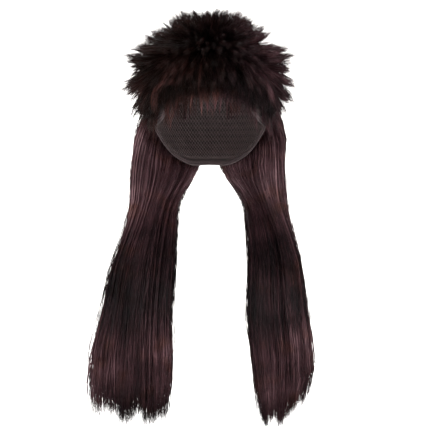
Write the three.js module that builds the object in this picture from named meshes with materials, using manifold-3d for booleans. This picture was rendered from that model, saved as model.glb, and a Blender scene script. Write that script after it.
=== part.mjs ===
// A mullet wig: short spiky hair on the crown, a thin fringe, and two long falls of straight hair
// that grow from the back of the cap, pass behind the ears and hang in front of the shoulders.
// The hair is synthetic fibre sewn in tracks to a stretch cap, which is hollow and open below.
// Millimetres. The wearer faces -Y, +X is on the right in the front view and +Z is up.
// The origin is where the crown of the head bears on the inside of the cap.
import * as THREE from "three";
import { mergeVertices } from "three/addons/utils/BufferGeometryUtils.js";
import Module from "manifold-3d";

const wasm = await Module();
wasm.setup();

// The head that the cap is sized for
const HEAD_WIDTH = 156;
const HEAD_LENGTH = 198;
const HEAD_DROP = 95; // crown of the head down to its widest level
const BACK_FULLNESS = 0.06; // how much wider than its mean the head is at the back

// The cap and what is sewn to it
const CAP_WALL = 1.6;
const BAND_WIDTH = 9;
const BAND_WALL = 2.4;
const TRACK_WIDTH = 6;
const TRACK_WALL = 1.4;
const CLEARANCE = 0.35; // between neighbouring pieces
const BAND_GAP = 0.55; // between the net and the band, along the head
const CUT_DEPTH = 20; // how far inside the head the cutters reach
const CAP_COLUMNS = 36;
const CAP_RINGS = 6;

// The short hair of the crown, from the head out to its tips
const SPIKE_TOP_LENGTH = 60;
const SPIKE_SIDE_LENGTH = 52;
const SPIKE_END_LENGTH = 38; // over the brow and behind
const CROWN_DROP = 118; // crown of the head down to the lowest tips
const CROWN_DENSITY = 0.6; // share of the way from the cap to the tips that is dense hair
const SPIKE_SHORTEST = 0.84; // share of the way from the cap to the tips
const SPIKE_LONGEST = 1.02;
const SPIKE_LEAN = 6; // degrees either way
const SPIKE_STRAY = 0.04; // share of the way down the crown, either way
const HAIRLINE_WIDTH = 12; // of the strip of cap left for the fringe and the sideburns

// The long hair
const FALL_DROP = 528; // crown of the head down to the lowest tips
const FALL_REACH = 166; // middle of the head out to the widest tips
const FALL_FORWARD = 88; // middle of the head forward to the hair on the chest
const FALL_THICKNESS = 30;
const FALL_LOCKS = 9; // across each fall
const FALL_STEPS = 10; // along each lock
const FALL_SIDES = 6; // of each lock
const FALL_SHORTEST = 0.93; // shortest lock, as a share of the longest
const FALL_TAPER = 0.09; // share of a lock's length over which it runs out to a point
const LOCK_OVERLAP = 0.75; // half a lock's width, as a share of the step between locks
const PARTING = 9; // between the two falls at the back of the head
const ROOT_ROOM = 3; // between the first track and the crown hair above it

// The thin hair over the brow and in front of the ears
const STRIP_WALL = 2.4; // of the strip that each of them is sewn to
const FRINGE_LENGTH = 50;
const SIDEBURN_LENGTH = 42;
const WISP_WIDTH = 9;
const WISP_DEPTH = 4;
const WISP_STAND = 7; // how far a wisp's tip stands off the skin
const WISP_SHORTEST = 0.55; // shortest wisp, as a share of the longest
const WISP_DRIFT = 0.2; // how far a tip strays sideways, as a share of its length
const STRIP_STEP = 8; // degrees to each column of a strip

const FIBRE = new THREE.Color("#2e1c20");
const FIBRE_LONG = new THREE.Color("#3a262b");
const NET = new THREE.Color("#1b1416");
const ELASTIC = new THREE.Color("#231a1c");

const degrees = THREE.MathUtils.degToRad;
const mix = THREE.MathUtils.lerp;
const MEAN_RADIUS = (HEAD_WIDTH / 2 + HEAD_LENGTH / 2 + HEAD_DROP) / 3;

// The cap's edge, from the middle of the brow (turn 0) to the middle of the nape (turn 180).
// polar is the angle at the middle of the head, from straight up.
const CAP_EDGE = [
  { turn: 0, polar: 67 }, // brow
  { turn: 28, polar: 69 },
  { turn: 52, polar: 80 }, // temple
  { turn: 76, polar: 95 }, // tab in front of the ear
  { turn: 96, polar: 87 }, // over the ear
  { turn: 120, polar: 108 }, // behind the ear
  { turn: 146, polar: 128 },
  { turn: 180, polar: 126 }, // nape
];

// Tracks that carry the long hair. polar is the upper edge; the ends are turns on the right side.
const TRACKS = [
  { polar: 76, from: 112 },
  { polar: 87, from: 114 },
  { polar: 98, from: 118 },
  { polar: 109, from: 130 },
];

// Rings of crown locks. share is the place of the ring between the top of the head and the crown
// hair's lower edge, and locks is how many tips stand in it.
const CROWN_RINGS = [
  { share: 0.09, locks: 6 },
  { share: 0.2, locks: 12 },
  { share: 0.31, locks: 18 },
  { share: 0.42, locks: 23 },
  { share: 0.53, locks: 27 },
  { share: 0.63, locks: 31 },
  { share: 0.73, locks: 34 },
  { share: 0.82, locks: 36 },
  { share: 0.91, locks: 38 },
  { share: 1, locks: 40 },
];

// The outline of the crown's tips from the middle of the top (polar 0) to the lowest ones. reach is a
// share of the widest tips' distance from the middle line, and drop a share of the crown's height.
const CROWN_PROFILE = [
  { polar: 0, reach: 0, drop: 0 },
  { polar: 18, reach: 0.36, drop: 0.01 }, // edge of the flat top
  { polar: 30, reach: 0.49, drop: 0.08 },
  { polar: 45, reach: 0.66, drop: 0.18 },
  { polar: 62, reach: 0.84, drop: 0.3 },
  { polar: 75, reach: 1, drop: 0.36 }, // upper tier of tips
  { polar: 84, reach: 0.9, drop: 0.48 },
  { polar: 93, reach: 0.99, drop: 0.62 }, // lower tier of tips
  { polar: 103, reach: 0.93, drop: 0.74 },
  { polar: 115, reach: 0.84, drop: 0.87 },
  { polar: 130, reach: 0.7, drop: 1 },
];

// The level of the crown hair's lowest tips at each turn, as a polar angle of the crown's profile
const CROWN_HEM = [
  { turn: 0, polar: 100 }, // brow
  { turn: 25, polar: 101 },
  { turn: 48, polar: 108 },
  { turn: 72, polar: 120 }, // before the ear
  { turn: 98, polar: 128 }, // over the ear
  { turn: 125, polar: 118 },
  { turn: 180, polar: 110 }, // above the nape
];

// The thin hair at the front: the turns that each strip runs between, its wisps and their length
const WISP_STRIPS = [
  { name: "fringe", from: -50, to: 50, wisps: 13, length: FRINGE_LENGTH },
  { name: "sideburn_left", from: -92, to: -64, wisps: 4, length: SIDEBURN_LENGTH },
  { name: "sideburn_right", from: 64, to: 92, wisps: 4, length: SIDEBURN_LENGTH },
];

// Where the long hair lies on the head. The lifts are shares of FALL_THICKNESS that the middle of
// the hair stands off the head, at each fall's outer edge (behind the ear) and inner edge.
const FALL_ROOTS = [
  { polar: 70, outerLift: 0.15, innerLift: 0.15 },
  { polar: 88, outerLift: 0.6, innerLift: 0.4 },
  { polar: 100, outerLift: 1.05, innerLift: 0.5 },
];

// Sections of the two falls below the head. down is the share of the way from the head to the
// lowest tips, and outer and inner are shares of FALL_REACH. outerAt and innerAt are how far behind
// the middle of the head each edge is, as a share of half the head's length, or in front of it,
// as a negative share of FALL_FORWARD.
const FALLS = [
  {
    name: "long_hair_left",
    side: -1,
    sections: [
      { down: 0.115, outer: 0.7, inner: 0.11, outerAt: 0.44, innerAt: 0.97 },
      { down: 0.23, outer: 0.7, inner: 0.27, outerAt: 0.3, innerAt: 0.66 },
      { down: 0.345, outer: 0.75, inner: 0.3, outerAt: 0.07, innerAt: 0.13 },
      { down: 0.46, outer: 0.83, inner: 0.31, outerAt: -0.3, innerAt: -0.41 },
      { down: 0.615, outer: 0.9, inner: 0.34, outerAt: -0.66, innerAt: -0.75 },
      { down: 0.8, outer: 0.98, inner: 0.33, outerAt: -0.84, innerAt: -0.91 },
      { down: 1, outer: 0.96, inner: 0.37, outerAt: -0.93, innerAt: -1 },
    ],
  },
  {
    name: "long_hair_right",
    side: 1,
    sections: [
      { down: 0.115, outer: 0.66, inner: 0.11, outerAt: 0.28, innerAt: 0.97 },
      { down: 0.23, outer: 0.66, inner: 0.3, outerAt: 0.2, innerAt: 0.66 },
      { down: 0.345, outer: 0.71, inner: 0.33, outerAt: 0.02, innerAt: 0.13 },
      { down: 0.46, outer: 0.77, inner: 0.34, outerAt: -0.33, innerAt: -0.41 },
      { down: 0.615, outer: 0.8, inner: 0.33, outerAt: -0.68, innerAt: -0.75 },
      { down: 0.8, outer: 0.83, inner: 0.38, outerAt: -0.85, innerAt: -0.91 },
      { down: 1, outer: 0.72, inner: 0.44, outerAt: -0.93, innerAt: -1 },
    ],
  },
];

// Half the depth of a fall, as a share of FALL_THICKNESS, from its roots (0) to its tips (1)
const FALL_DEPTHS = [
  { along: 0, depth: 0.25 },
  { along: 0.1, depth: 0.58 },
  { along: 0.35, depth: 0.5 },
  { along: 0.75, depth: 0.38 },
  { along: 1, depth: 0.2 },
];

// A number from 0 to 1 that looks random and is the same each run.
function scatter(index, salt) {
  const wave = Math.sin(index * 12.9898 + salt * 78.233) * 43758.5453;
  return wave - Math.floor(wave);
}

// A value between two limits that looks random and is the same each run.
function vary(low, high, index, salt) {
  return mix(low, high, scatter(index, salt));
}

// The value of a table's column at a key, on a smooth line between its rows.
function fromTable(rows, key, column, at) {
  const last = rows.findIndex((row) => row[key] >= at);
  if (last === 0) return rows[0][column];
  if (last < 0) return rows[rows.length - 1][column];
  const [before, after] = [rows[last - 1], rows[last]];
  const share = THREE.MathUtils.smoothstep(at, before[key], after[key]);
  return mix(before[column], after[column], share);
}

// A point at a distance outside the head. Both angles are in radians; turn 0 is the brow.
function headPoint(turn, polar, outside) {
  const ring = Math.sin(polar);
  const back = -Math.cos(turn);
  const halfWidth = (HEAD_WIDTH / 2) * (1 + BACK_FULLNESS * back) + outside;
  return new THREE.Vector3(
    halfWidth * ring * Math.sin(turn),
    (HEAD_LENGTH / 2 + outside) * ring * back,
    -HEAD_DROP + (HEAD_DROP + outside) * Math.cos(polar),
  );
}

// The polar angle that a table gives at a turn, on either side of the head.
function atTurn(rows, turn) {
  const around = THREE.MathUtils.radToDeg(Math.abs(Math.atan2(Math.sin(turn), Math.cos(turn))));
  return fromTable(rows, "turn", "polar", around);
}

// The polar angle of the cap's edge at a turn, in radians, a distance (mm) below its line.
function edgePolar(turn, below = 0) {
  return degrees(atTurn(CAP_EDGE, turn)) + below / MEAN_RADIUS;
}

// A mesh from points and the triangles between them.
function meshOf(points, faces) {
  return new THREE.BufferGeometry().setFromPoints(points).setIndex(faces);
}

// A piece of wall that follows the head. The turn runs over the whole ring or from start to end,
// top and bottom give the polar angles at a turn, and inner and outer are how far the wall's two
// surfaces are outside the head. A wall with no top is closed over the crown of the head.
function headWall({ start = 0, end = 2 * Math.PI, columns, rings, top, bottom, inner, outer }) {
  const whole = end - start > 2 * Math.PI - 1e-6;
  const across = whole ? columns : columns + 1;
  const capped = top === undefined;
  const points = [];
  const faces = [];
  const [inside, outside] = [inner, outer].map((distance) => {
    const rows = [];
    for (let ring = capped ? 1 : 0; ring <= rings; ring++) {
      const row = [];
      for (let column = 0; column < across; column++) {
        const turn = mix(start, end, column / columns);
        const polar = mix(capped ? 0 : top(turn), bottom(turn), ring / rings);
        row.push(points.push(headPoint(turn, polar, distance)) - 1);
      }
      rows.push(row);
    }
    return rows;
  });
  const next = (row, column) => row[(column + 1) % row.length];
  const quad = (a, b, c, d) => faces.push(a, b, c, a, c, d);
  const spans = whole ? across : across - 1;
  for (let column = 0; column < spans; column++) {
    for (let ring = 0; ring + 1 < outside.length; ring++) {
      const [upper, lower] = [outside[ring], outside[ring + 1]];
      quad(upper[column], lower[column], next(lower, column), next(upper, column));
      const [upperIn, lowerIn] = [inside[ring], inside[ring + 1]];
      quad(upperIn[column], next(upperIn, column), next(lowerIn, column), lowerIn[column]);
    }
    const [lastOut, lastIn] = [outside.at(-1), inside.at(-1)];
    quad(lastOut[column], lastIn[column], next(lastIn, column), next(lastOut, column));
    if (!capped) {
      quad(inside[0][column], outside[0][column], next(outside[0], column), next(inside[0], column));
    }
  }
  if (capped) {
    const poles = [inner, outer].map((distance) => points.push(headPoint(0, 0, distance)) - 1);
    for (let column = 0; column < spans; column++) {
      faces.push(poles[0], next(inside[0], column), inside[0][column]);
      faces.push(poles[1], outside[0][column], next(outside[0], column));
    }
  }
  if (!whole) {
    for (let ring = 0; ring + 1 < outside.length; ring++) {
      const at = across - 1;
      quad(inside[ring][0], inside[ring + 1][0], outside[ring + 1][0], outside[ring][0]);
      quad(inside[ring][at], outside[ring][at], outside[ring + 1][at], inside[ring + 1][at]);
    }
  }
  return meshOf(points, faces);
}

// A lock of hair: a closed loft through sections, each with its middle and its two half axes,
// that ends in a point.
function lockGeometry(sections, tip, sides = 4) {
  const points = [];
  const faces = [];
  for (const { middle, across, depth } of sections) {
    for (let side = 0; side < sides; side++) {
      const angle = (2 * Math.PI * side) / sides;
      const point = middle.clone();
      point.addScaledVector(across, Math.cos(angle));
      point.addScaledVector(depth, Math.sin(angle));
      points.push(point);
    }
  }
  const root = points.push(sections[0].middle.clone()) - 1;
  const end = points.push(tip) - 1;
  const lastRing = (sections.length - 1) * sides;
  for (let side = 0; side < sides; side++) {
    const after = (side + 1) % sides;
    for (let ring = 0; ring < lastRing; ring += sides) {
      const [a, b] = [ring + side, ring + after];
      faces.push(a, b, b + sides, a, b + sides, a + sides);
    }
    faces.push(root, after, side);
    faces.push(lastRing + side, lastRing + after, end);
  }
  return meshOf(points, faces);
}

function solidFrom(geometry) {
  const merged = mergeVertices(geometry, 1e-4);
  const mesh = new wasm.Mesh({
    numProp: 3,
    vertProperties: merged.attributes.position.array,
    triVerts: new Uint32Array(merged.index.array),
  });
  return new wasm.Manifold(mesh);
}

function geometryFrom(solid) {
  const { vertProperties, triVerts } = solid.getMesh();
  return new THREE.BufferGeometry()
    .setAttribute("position", new THREE.BufferAttribute(vertProperties, 3))
    .setIndex(new THREE.BufferAttribute(triVerts, 1));
}

// Locks joined where they cross, with any hollow that they seal between them filled
function join(solids) {
  const joined = solids.reduce((sum, solid) => sum.add(solid));
  return wasm.Manifold.compose(joined.decompose().filter((body) => body.volume() > 0));
}

// The largest body of a solid, without the slivers that a cut leaves
function mainBody(solid) {
  const bodies = solid.decompose();
  return bodies.reduce((main, body) => (body.volume() > main.volume() ? body : main));
}

// The net cap. A grown copy of it, or of the band or a track, is thicker by that much all round and
// solid to well inside the head, for cutting the hair that lies on it.
const onCap = CAP_WALL + CLEARANCE;
const inwards = (grown) => (grown ? -CUT_DEPTH : 0);

function capNet(grown = 0) {
  return headWall({
    columns: CAP_COLUMNS,
    rings: CAP_RINGS,
    bottom: (turn) => edgePolar(turn, grown),
    inner: inwards(grown),
    outer: CAP_WALL + grown,
  });
}

// The elastic band that edges the cap, flush with it outside
function capBand(grown = 0) {
  return headWall({
    columns: CAP_COLUMNS,
    rings: 1,
    top: (turn) => edgePolar(turn, BAND_GAP - grown),
    bottom: (turn) => edgePolar(turn, BAND_WIDTH + grown),
    inner: CAP_WALL - BAND_WALL + inwards(grown),
    outer: CAP_WALL + grown,
  });
}

// One track of the long hair, round the back of the cap from behind one ear to behind the other
function track({ polar, from }, grown = 0) {
  const top = degrees(polar);
  const slack = grown / MEAN_RADIUS;
  return headWall({
    start: degrees(from) - slack,
    end: degrees(360 - from) + slack,
    columns: CAP_COLUMNS / 2,
    rings: 1,
    top: () => top - slack,
    bottom: () => top + TRACK_WIDTH / MEAN_RADIUS + slack,
    inner: onCap + inwards(grown),
    outer: onCap + TRACK_WALL + grown,
  });
}

// The polar angle where the crown hair ends on the cap: above the strips at the front, and above
// the first track behind the ears
function crownEdge(turn) {
  const aboveStrips = edgePolar(turn, -HAIRLINE_WIDTH);
  const aboveTracks = degrees(TRACKS[0].polar) - ROOT_ROOM / MEAN_RADIUS;
  const behindEars = Math.cos(turn) < Math.cos(degrees(TRACKS[0].from - SPIKE_LEAN));
  return behindEars ? Math.min(aboveStrips, aboveTracks) : aboveStrips;
}

// A point where the crown's tips lie. The polar angle, in degrees, is the profile's.
function crownTip(turn, polar) {
  const reach = fromTable(CROWN_PROFILE, "polar", "reach", polar);
  const drop = fromTable(CROWN_PROFILE, "polar", "drop", polar);
  return new THREE.Vector3(
    (HEAD_WIDTH / 2 + SPIKE_SIDE_LENGTH) * reach * Math.sin(turn),
    -(HEAD_LENGTH / 2 + SPIKE_END_LENGTH) * reach * Math.cos(turn),
    mix(SPIKE_TOP_LENGTH, -CROWN_DROP, drop),
  );
}

// A point of the crown hair. share is its place between the top and the lower edge, and out its
// place between the cap and the tips.
function crownPoint(turn, share, out) {
  const inner = headPoint(turn, share * crownEdge(turn), CAP_WALL / 2);
  return inner.lerp(crownTip(turn, share * atTurn(CROWN_HEM, turn)), out);
}

// The triangles between two rings of points round the same axis, which may differ in number. Each
// step goes on along the ring whose next point comes first.
function zip(upper, lower, faces) {
  const at = (ring, i) => ring[i % ring.length];
  const turnOf = (ring, i) => (i > ring.length ? Infinity : (i + ring[0].offset) / ring.length);
  let [i, j] = [0, 0];
  while (i < upper.length || j < lower.length) {
    if (turnOf(upper, i + 1) <= turnOf(lower, j + 1)) {
      faces.push(at(upper, i).index, at(lower, j).index, at(upper, i + 1).index);
      i++;
    } else {
      faces.push(at(upper, i).index, at(lower, j).index, at(lower, j + 1).index);
      j++;
    }
  }
}

// The crown hair: a thick shell over the cap whose outside rises to a tip at every other point of
// each ring, so that each tip is a lock of hair fused to its neighbours
function crownSolid() {
  const points = [];
  const faces = [];
  const ringOf = (count, offset, pointAt) =>
    Array.from({ length: count }, (_, i) => {
      const turn = (2 * Math.PI * (i + offset)) / count;
      return { offset, index: points.push(pointAt(turn, i)) - 1 };
    });
  const outer = [];
  CROWN_RINGS.forEach(({ share, locks }, row) => {
    const shareBefore = row ? CROWN_RINGS[row - 1].share : 0;
    const hollowShare = (share + shareBefore) / 2;
    outer.push(ringOf(locks, 0.5, (turn) => crownPoint(turn, hollowShare, CROWN_DENSITY)));
    outer.push(
      ringOf(2 * locks, 0, (turn, i) => {
        if (i % 2) return crownPoint(turn, share, CROWN_DENSITY);
        const seed = 100 * row + i;
        const lean = degrees(vary(-SPIKE_LEAN, SPIKE_LEAN, seed, 1));
        const stray = vary(-SPIKE_STRAY, SPIKE_STRAY, seed, 2);
        return crownPoint(turn + lean, share + stray, vary(SPIKE_SHORTEST, SPIKE_LONGEST, seed, 3));
      }),
    );
  });
  const innerShares = Array.from({ length: CAP_RINGS - 1 }, (_, i) => (i + 1) / (CAP_RINGS - 1));
  const inner = innerShares.map((share) => ringOf(CAP_COLUMNS, 0, (turn) => crownPoint(turn, share, 0)));
  outer.slice(1).forEach((ring, i) => zip(outer[i], ring, faces));
  zip(outer.at(-1), inner.at(-1), faces);
  inner.slice(1).forEach((ring, i) => zip(ring, inner[i], faces));
  const fan = (ring, out, flip) => {
    const pole = points.push(crownPoint(0, 0, out)) - 1;
    ring.forEach(({ index }, i) => {
      const after = ring[(i + 1) % ring.length].index;
      faces.push(pole, flip ? after : index, flip ? index : after);
    });
  };
  fan(outer[0], CROWN_DENSITY, false);
  fan(inner[0], 0, true);
  return solidFrom(meshOf(points, faces));
}

// Where hair that hangs from the head lies: it follows the head down to its widest level, and
// hangs straight below it
function hangPoint(turn, polar, outside) {
  const widest = Math.PI / 2;
  const point = headPoint(turn, Math.min(polar, widest), outside);
  return point.setZ(point.z - Math.max(0, polar - widest) * MEAN_RADIUS);
}

// A strip at the cap's edge with thin wisps that hang from it
function wispSolid({ from, to, wisps, length }, grown = 0) {
  const strip = headWall({
    start: degrees(from) - grown / MEAN_RADIUS,
    end: degrees(to) + grown / MEAN_RADIUS,
    columns: Math.ceil((to - from) / STRIP_STEP),
    rings: 1,
    top: (turn) => edgePolar(turn, CLEARANCE - HAIRLINE_WIDTH - grown),
    bottom: (turn) => edgePolar(turn, -2 * CLEARANCE + grown),
    inner: CAP_WALL / 2,
    outer: onCap + STRIP_WALL + grown,
  });
  const locks = Array.from({ length: wisps }, (_, i) => {
    const turn = degrees(mix(from, to, (i + 0.5) / wisps));
    const fall = length * vary(WISP_SHORTEST, 1, i, from);
    const drift = (fall * vary(-WISP_DRIFT, WISP_DRIFT, i, to)) / MEAN_RADIUS;
    const across = new THREE.Vector3(Math.cos(turn), Math.sin(turn), 0);
    const outward = new THREE.Vector3(Math.sin(turn), -Math.cos(turn), 0);
    const place = (share) =>
      hangPoint(
        turn + drift * share * share,
        edgePolar(turn, fall * share - HAIRLINE_WIDTH / 2),
        onCap + WISP_DEPTH / 2 + WISP_STAND * share,
      );
    const sections = [0, 0.35, 0.7].map((share) => ({
      middle: place(share),
      across: across.clone().multiplyScalar((WISP_WIDTH / 2) * (1 - share * share) + grown),
      depth: outward.clone().multiplyScalar((WISP_DEPTH / 2) * (1 - share / 2) + grown),
    }));
    return solidFrom(lockGeometry(sections, place(1)));
  });
  return join([solidFrom(strip), ...locks]);
}

// The line that one lock of a fall follows. share runs from the fall's outer edge, behind the ear,
// to its inner edge, at the parting.
function fallLine({ side, sections }, share) {
  const turn = mix(degrees(TRACKS[0].from), Math.PI - PARTING / HEAD_LENGTH, share);
  const points = FALL_ROOTS.map(({ polar, outerLift, innerLift }) => {
    const lift = FALL_THICKNESS * mix(outerLift, innerLift, share);
    return headPoint(turn, degrees(polar), onCap + TRACK_WALL + lift);
  });
  const leaves = points.at(-1).z;
  for (const { down, outer, inner, outerAt, innerAt } of sections) {
    const at = mix(outerAt, innerAt, share);
    const x = FALL_REACH * mix(outer, inner, share);
    const y = at * (at > 0 ? HEAD_LENGTH / 2 : FALL_FORWARD);
    points.push(new THREE.Vector3(x, y, mix(leaves, -FALL_DROP, down)));
  }
  points.forEach((point) => point.setX(point.x * side));
  return new THREE.CatmullRomCurve3(points, false, "centripetal");
}

function fallLock(fall, index, grown) {
  const step = 1 / FALL_LOCKS;
  const share = (index + 0.5) * step;
  const [line, before, after] = [0, -0.5, 0.5].map((shift) => fallLine(fall, share + shift * step));
  const length = vary(FALL_SHORTEST, 1, index, fall.side + 5);
  const sections = Array.from({ length: FALL_STEPS }, (_, i) => {
    const along = ((length - FALL_TAPER) * i) / (FALL_STEPS - 1);
    const width = after.getPoint(along).sub(before.getPoint(along));
    const depth = line.getTangent(along).cross(width).normalize();
    const deep = FALL_THICKNESS * fromTable(FALL_DEPTHS, "along", "depth", along);
    return {
      middle: line.getPoint(along),
      across: width.clone().setLength(LOCK_OVERLAP * width.length() + grown),
      depth: depth.multiplyScalar(deep * vary(0.85, 1, index, 7) + grown),
    };
  });
  return lockGeometry(sections, line.getPoint(length), FALL_SIDES);
}

function fallSolid(fall, grown = 0) {
  return join(Array.from({ length: FALL_LOCKS }, (_, i) => solidFrom(fallLock(fall, i, grown))));
}

const group = new THREE.Group();
function add(name, geometry, color, roughness) {
  const material = new THREE.MeshStandardMaterial({ color, roughness, metalness: 0 });
  const mesh = new THREE.Mesh(geometry, material);
  mesh.name = name;
  group.add(mesh);
}

add("cap_net", capNet(), NET, 0.9);
add("cap_band", capBand(), ELASTIC, 0.8);
TRACKS.forEach((row, i) => add(`hair_track_${i + 1}`, track(row), ELASTIC, 0.8));

const cutters = [capNet, capBand, ...TRACKS.map((row) => (grown) => track(row, grown))];
const underHair = join(cutters.map((cutter) => solidFrom(cutter(CLEARANCE))));
const besideCrown = [
  ...FALLS.map((fall) => fallSolid(fall, CLEARANCE)),
  ...WISP_STRIPS.map((strip) => wispSolid(strip, CLEARANCE)),
];
const hair = [
  ...FALLS.map((fall) => ({ name: fall.name, solid: fallSolid(fall), color: FIBRE_LONG })),
  ...WISP_STRIPS.map((strip) => ({ name: strip.name, solid: wispSolid(strip), color: FIBRE })),
  { name: "crown_hair", solid: crownSolid().subtract(join(besideCrown)), color: FIBRE },
];
for (const { name, solid, color } of hair) {
  add(name, geometryFrom(mainBody(solid.subtract(underHair))), color, 0.5);
}

export default group;
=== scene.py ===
import math

import bmesh
import bpy
import numpy as np
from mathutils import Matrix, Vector


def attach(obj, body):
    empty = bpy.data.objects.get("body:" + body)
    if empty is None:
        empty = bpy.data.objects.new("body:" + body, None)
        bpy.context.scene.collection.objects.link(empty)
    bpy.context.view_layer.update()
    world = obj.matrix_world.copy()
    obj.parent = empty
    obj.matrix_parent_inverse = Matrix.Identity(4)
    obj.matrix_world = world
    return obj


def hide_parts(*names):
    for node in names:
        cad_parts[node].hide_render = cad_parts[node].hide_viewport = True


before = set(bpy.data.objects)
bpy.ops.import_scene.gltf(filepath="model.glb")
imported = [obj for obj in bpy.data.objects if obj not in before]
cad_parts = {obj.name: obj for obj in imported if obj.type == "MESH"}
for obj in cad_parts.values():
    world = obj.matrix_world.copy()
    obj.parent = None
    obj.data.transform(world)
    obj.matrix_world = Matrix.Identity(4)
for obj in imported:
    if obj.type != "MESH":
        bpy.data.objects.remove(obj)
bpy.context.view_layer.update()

# The view and the studio. The camera looks level at the wig from far off, as in the photograph. A
# round cove of white paper is the floor below the wig and bends up into a wall all round it, and
# large soft lights stand inside it.
PICTURE_WIDTH = 0.605  # of what the picture takes in, at the middle of the head
PICTURE_MIDDLE = Vector((0.0043, 0, -0.2286))
CAMERA_DISTANCE = 4.0
CAMERA_REACH = 50
COVE_RADIUS = 9.0
COVE_BEND = 3.0
COVE_HEIGHT = 9.0
COVE_BEND_STEPS = 24
COVE_ROUND_STEPS = 96
FLOOR_LEVEL = -0.56
PAPER = "#fbfaf9"
PAPER_GLOW = 0.62
SKY_STRENGTH = 0.5
STUDIO_LIGHTS = [  # name, place, width, watts
    ("left", (-2.4, -1.5, 1.0), 1.4, 70),
    ("right", (2.5, -1.3, 0.9), 1.4, 95),
    ("front", (0.4, -3.4, 2.2), 1.2, 30),
    ("behind", (0.3, 2.2, 2.0), 1.6, 60),
]


def linear(code):
    """A hex colour, which is sRGB, as the linear colour that a material takes."""
    shares = [int(code[i : i + 2], 16) / 255 for i in (1, 3, 5)]
    return [s / 12.92 if s <= 0.04045 else ((s + 0.055) / 1.055) ** 2.4 for s in shares] + [1]


def add_node(tree, kind, inputs=None, **settings):
    """A shader node with its settings. An input is a value, or another node's output to link."""
    node = tree.nodes.new("ShaderNode" + kind)
    for name, value in settings.items():
        setattr(node, name, value)
    for socket, value in (inputs or {}).items():
        if isinstance(value, bpy.types.NodeSocket):
            tree.links.new(value, node.inputs[socket])
        else:
            node.inputs[socket].default_value = value
    return node


def new_material(name):
    """A material with an empty node tree."""
    material = bpy.data.materials.new(name)
    material.use_nodes = True
    material.node_tree.nodes.clear()
    return material, material.node_tree


def new_object(name, mesh, material):
    """An object that shows a mesh in a material."""
    made = bpy.data.objects.new(name, mesh)
    bpy.context.scene.collection.objects.link(made)
    mesh.materials.append(material)
    return made


def mesh_from(form, name):
    """A smooth mesh from a bmesh, which is freed."""
    mesh = bpy.data.meshes.new(name)
    form.to_mesh(mesh)
    form.free()
    mesh.shade_smooth()
    return mesh


camera = bpy.data.objects.new("camera", bpy.data.cameras.new("camera"))
bpy.context.scene.collection.objects.link(camera)
bpy.context.scene.camera = camera
camera.data.lens = camera.data.sensor_width * CAMERA_DISTANCE / PICTURE_WIDTH
camera.location = PICTURE_MIDDLE + Vector((0, -CAMERA_DISTANCE, 0))
camera.rotation_euler = (math.pi / 2, 0, 0)
camera.data.clip_end = CAMERA_REACH

# Matt white seamless paper, so brightly lit from outside the picture that it shows no shadow.
white_paper, tree = new_material("white_paper")
shader = add_node(tree, "BsdfPrincipled", {
    "Base Color": linear(PAPER), "Roughness": 0.9,
    "Emission Color": linear(PAPER), "Emission Strength": PAPER_GLOW,
})
add_node(tree, "OutputMaterial", {"Surface": shader.outputs["BSDF"]})

form = bmesh.new()
middle = form.verts.new((0, 0, FLOOR_LEVEL))
rim = form.verts.new((COVE_RADIUS - COVE_BEND, 0, FLOOR_LEVEL))
floor = form.edges.new((middle, rim))
bent = bmesh.ops.spin(form, geom=[rim], axis=(0, -1, 0), angle=math.pi / 2, steps=COVE_BEND_STEPS,
                      cent=(COVE_RADIUS - COVE_BEND, 0, FLOOR_LEVEL + COVE_BEND))
bend_end = [part for part in bent["geom_last"] if isinstance(part, bmesh.types.BMVert)]
top = bmesh.ops.extrude_vert_indiv(form, verts=bend_end)
bmesh.ops.translate(form, verts=top["verts"], vec=(0, 0, COVE_HEIGHT))
bmesh.ops.spin(form, geom=form.verts[:] + form.edges[:], axis=(0, 0, 1), cent=(0, 0, 0),
               angle=2 * math.pi, steps=COVE_ROUND_STEPS, use_merge=True)
bmesh.ops.remove_doubles(form, verts=form.verts, dist=1e-4)
cove = new_object("paper_cove", mesh_from(form, "paper_cove"), white_paper)

for name, place, width, watts in STUDIO_LIGHTS:
    light = bpy.data.lights.new(name, "AREA")
    light.size = width
    light.energy = watts
    stand = bpy.data.objects.new("light_" + name, light)
    bpy.context.scene.collection.objects.link(stand)
    stand.location = place
    aim = Vector((0, 0, PICTURE_MIDDLE.z)) - stand.location
    stand.rotation_euler = aim.to_track_quat("-Z", "Y").to_euler()

world = bpy.data.worlds.new("studio")
bpy.context.scene.world = world
world.use_nodes = True
world.node_tree.nodes["Background"].inputs["Color"].default_value = (1, 1, 1, 1)
world.node_tree.nodes["Background"].inputs["Strength"].default_value = SKY_STRENGTH
bpy.context.scene.view_settings.view_transform = "Standard"

# The cap: an elastic net of fine dark nylon, knitted in small diamonds, that stretches over the head
# and carries all the hair. It shows on the inside, with the rows of sewn hair dark behind it. Lengths
# are in mm and angles in degrees: turn 0 is the middle of the brow, 180 the nape, and polar is
# measured from straight up.
MILLIMETRE = 0.001
HEAD_WIDTH = 156  # of the head that the cap is sized for
HEAD_LENGTH = 198
HEAD_DROP = 95
BACK_FULLNESS = 0.06
MEAN_RADIUS = (HEAD_WIDTH / 2 + HEAD_LENGTH / 2 + HEAD_DROP) / 3
CAP_WALL = 1.6
CAP_EDGE = [  # turn, polar
    (0, 67), (28, 69), (52, 80), (76, 95), (96, 87), (120, 108), (146, 128), (180, 126),
]
CAP_EDGE_EVENED = [-16, -8, 0, 8, 16]  # degrees to each side that the edge is evened out over
CAP_COLUMNS = 96
CAP_RINGS = 28
CLOTH_OFF_HEAD = 0.3
NET_THREADS_EACH_WAY = 112
NET_THREAD_RADIUS = 0.3
NET_THREAD_STEPS = 28
NET_TOP_POLAR = 9
NET_TWIST = 0.8  # how fast a thread turns round the cap on its way down
NET_THREAD_OFF_HEAD = 0.15
NET_THREADS_APART = 0.12  # from the head, so that one way crosses over the other
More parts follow.
